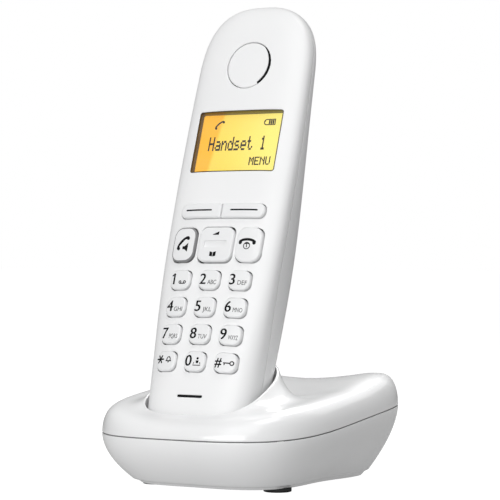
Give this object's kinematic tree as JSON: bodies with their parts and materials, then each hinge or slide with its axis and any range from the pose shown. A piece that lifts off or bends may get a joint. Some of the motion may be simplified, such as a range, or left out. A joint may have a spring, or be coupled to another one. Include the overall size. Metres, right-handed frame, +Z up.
{
  "type": "cordless phone with charging base",
  "caption": "Cordless telephone handset with keypad and display, standing in the pocket of a low rounded desktop charging base.",
  "frame": {"origin": "on the floor under the middle of the base's outline", "axes": "-Y is the front with the keys and display, +X the phone's left-hand side as it faces the user's right, +Z up; X = 0 is the middle plane"},
  "size_m": [0.0812, 0.095, 0.1614],
  "materials": {
    "shell_white": "glossy moulded white",
    "key_white": "satin white keycap",
    "display_window": "clear polished lens",
    "display_amber": "backlit amber display",
    "black_rubber": "matt black",
    "mat_rubber": "matt grey silicone",
    "circuit_board": "green solder mask",
    "cell_wrap": "printed sleeve",
    "contact_gold": "gold plated",
    "bright_steel": "bright",
    "black_plastic": "satin black"
  },
  "bodies": {
    "base": {"base_board": "circuit_board", "base_lower_shell": "shell_white", "base_screw_left": "bright_steel", "base_screw_rear": "bright_steel", "base_screw_right": "bright_steel", "base_upper_shell": "shell_white", "foot_front_left": "black_rubber", "foot_front_right": "black_rubber", "foot_rear_left": "black_rubber", "foot_rear_right": "black_rubber", "line_socket": "black_plastic", "power_socket": "black_plastic", "power_socket_pin": "bright_steel"},
    "handset": {"antenna_strip": "bright_steel", "backlight_tray": "black_plastic", "battery_contact_lower": "bright_steel", "battery_contact_upper": "bright_steel", "battery_left": "cell_wrap", "battery_right": "cell_wrap", "battery_tray": "black_plastic", "display_panel": "display_amber", "display_window": "display_window", "earpiece_cap": "shell_white", "earpiece_receiver": "black_plastic", "handset_board": "circuit_board", "handset_charge_pad_left": "contact_gold", "handset_charge_pad_right": "contact_gold", "handset_front_shell": "shell_white", "handset_rear_shell": "shell_white", "handset_screw_left": "bright_steel", "handset_screw_right": "bright_steel", "handsfree_speaker": "black_plastic", "keypad_mat": "mat_rubber", "microphone": "bright_steel", "microphone_boot": "black_rubber", "radio_shield": "bright_steel"},
    "key_1": {"key_1": "key_white"},
    "key_2": {"key_2": "key_white"},
    "key_3": {"key_3": "key_white"},
    "key_4": {"key_4": "key_white"},
    "key_5": {"key_5": "key_white"},
    "key_6": {"key_6": "key_white"},
    "key_7": {"key_7": "key_white"},
    "key_8": {"key_8": "key_white"},
    "key_9": {"key_9": "key_white"},
    "key_star": {"key_star": "key_white"},
    "key_0": {"key_0": "key_white"},
    "key_hash": {"key_hash": "key_white"},
    "key_talk": {"key_talk": "key_white"},
    "key_end": {"key_end": "key_white"},
    "softkey_left": {"softkey_left": "key_white"},
    "softkey_right": {"softkey_right": "key_white"},
    "key_navigation": {"key_navigation": "key_white"},
    "battery_cover": {"battery_cover": "shell_white"},
    "paging_key": {"paging_key": "key_white"},
    "cradle_contact_left": {"cradle_contact_left": "contact_gold"},
    "cradle_contact_right": {"cradle_contact_right": "contact_gold"}
  },
  "joints": [
    {"name": "handset_lift", "type": "slide", "parent": "base", "child": "handset", "axis": [0, 0.319, 0.9478], "range_m": [0, 0.055]},
    {"name": "key_1_press", "type": "slide", "parent": "handset", "child": "key_1", "axis": [0, 0.9478, -0.319], "range_m": [0, 0.0006], "stiffness_N_per_m": 2500},
    {"name": "key_2_press", "type": "slide", "parent": "handset", "child": "key_2", "axis": [0, 0.9478, -0.319], "range_m": [0, 0.0006], "stiffness_N_per_m": 2500},
    {"name": "key_3_press", "type": "slide", "parent": "handset", "child": "key_3", "axis": [0, 0.9478, -0.319], "range_m": [0, 0.0006], "stiffness_N_per_m": 2500},
    {"name": "key_4_press", "type": "slide", "parent": "handset", "child": "key_4", "axis": [0, 0.9478, -0.319], "range_m": [0, 0.0006], "stiffness_N_per_m": 2500},
    {"name": "key_5_press", "type": "slide", "parent": "handset", "child": "key_5", "axis": [0, 0.9478, -0.319], "range_m": [0, 0.0006], "stiffness_N_per_m": 2500},
    {"name": "key_6_press", "type": "slide", "parent": "handset", "child": "key_6", "axis": [0, 0.9478, -0.319], "range_m": [0, 0.0006], "stiffness_N_per_m": 2500},
    {"name": "key_7_press", "type": "slide", "parent": "handset", "child": "key_7", "axis": [0, 0.9478, -0.319], "range_m": [0, 0.0006], "stiffness_N_per_m": 2500},
    {"name": "key_8_press", "type": "slide", "parent": "handset", "child": "key_8", "axis": [0, 0.9478, -0.319], "range_m": [0, 0.0006], "stiffness_N_per_m": 2500},
    {"name": "key_9_press", "type": "slide", "parent": "handset", "child": "key_9", "axis": [0, 0.9478, -0.319], "range_m": [0, 0.0006], "stiffness_N_per_m": 2500},
    {"name": "key_star_press", "type": "slide", "parent": "handset", "child": "key_star", "axis": [0, 0.9478, -0.319], "range_m": [0, 0.0006], "stiffness_N_per_m": 2500},
    {"name": "key_0_press", "type": "slide", "parent": "handset", "child": "key_0", "axis": [0, 0.9478, -0.319], "range_m": [0, 0.0006], "stiffness_N_per_m": 2500},
    {"name": "key_hash_press", "type": "slide", "parent": "handset", "child": "key_hash", "axis": [0, 0.9478, -0.319], "range_m": [0, 0.0006], "stiffness_N_per_m": 2500},
    {"name": "key_talk_press", "type": "slide", "parent": "handset", "child": "key_talk", "axis": [0, 0.9478, -0.319], "range_m": [0, 0.0006], "stiffness_N_per_m": 2500},
    {"name": "key_end_press", "type": "slide", "parent": "handset", "child": "key_end", "axis": [0, 0.9478, -0.319], "range_m": [0, 0.0006], "stiffness_N_per_m": 2500},
    {"name": "softkey_left_press", "type": "slide", "parent": "handset", "child": "softkey_left", "axis": [0, 0.9478, -0.319], "range_m": [0, 0.0006], "stiffness_N_per_m": 2500},
    {"name": "softkey_right_press", "type": "slide", "parent": "handset", "child": "softkey_right", "axis": [0, 0.9478, -0.319], "range_m": [0, 0.0006], "stiffness_N_per_m": 2500},
    {"name": "navigation_rock", "type": "hinge", "parent": "handset", "child": "key_navigation", "pos_m": [0, -0.01645, 0.07886], "axis": [1, 0, 0], "range_deg": [-3, 3], "stiffness_Nm_per_rad": 0.25},
    {"name": "battery_cover_lift", "type": "slide", "parent": "handset", "child": "battery_cover", "axis": [0, 0.9478, -0.319], "range_m": [0, 0.012]},
    {"name": "paging_key_press", "type": "slide", "parent": "base", "child": "paging_key", "axis": [0, -0.8829, 0.4695], "range_m": [0, 0.0008], "stiffness_N_per_m": 2000},
    {"name": "cradle_contact_left_spring", "type": "slide", "parent": "base", "child": "cradle_contact_left", "axis": [0, -0.319, -0.9478], "range_m": [0, 0.0008], "stiffness_N_per_m": 600},
    {"name": "cradle_contact_right_spring", "type": "slide", "parent": "base", "child": "cradle_contact_right", "axis": [0, -0.319, -0.9478], "range_m": [0, 0.0008], "stiffness_N_per_m": 600}
  ]
}
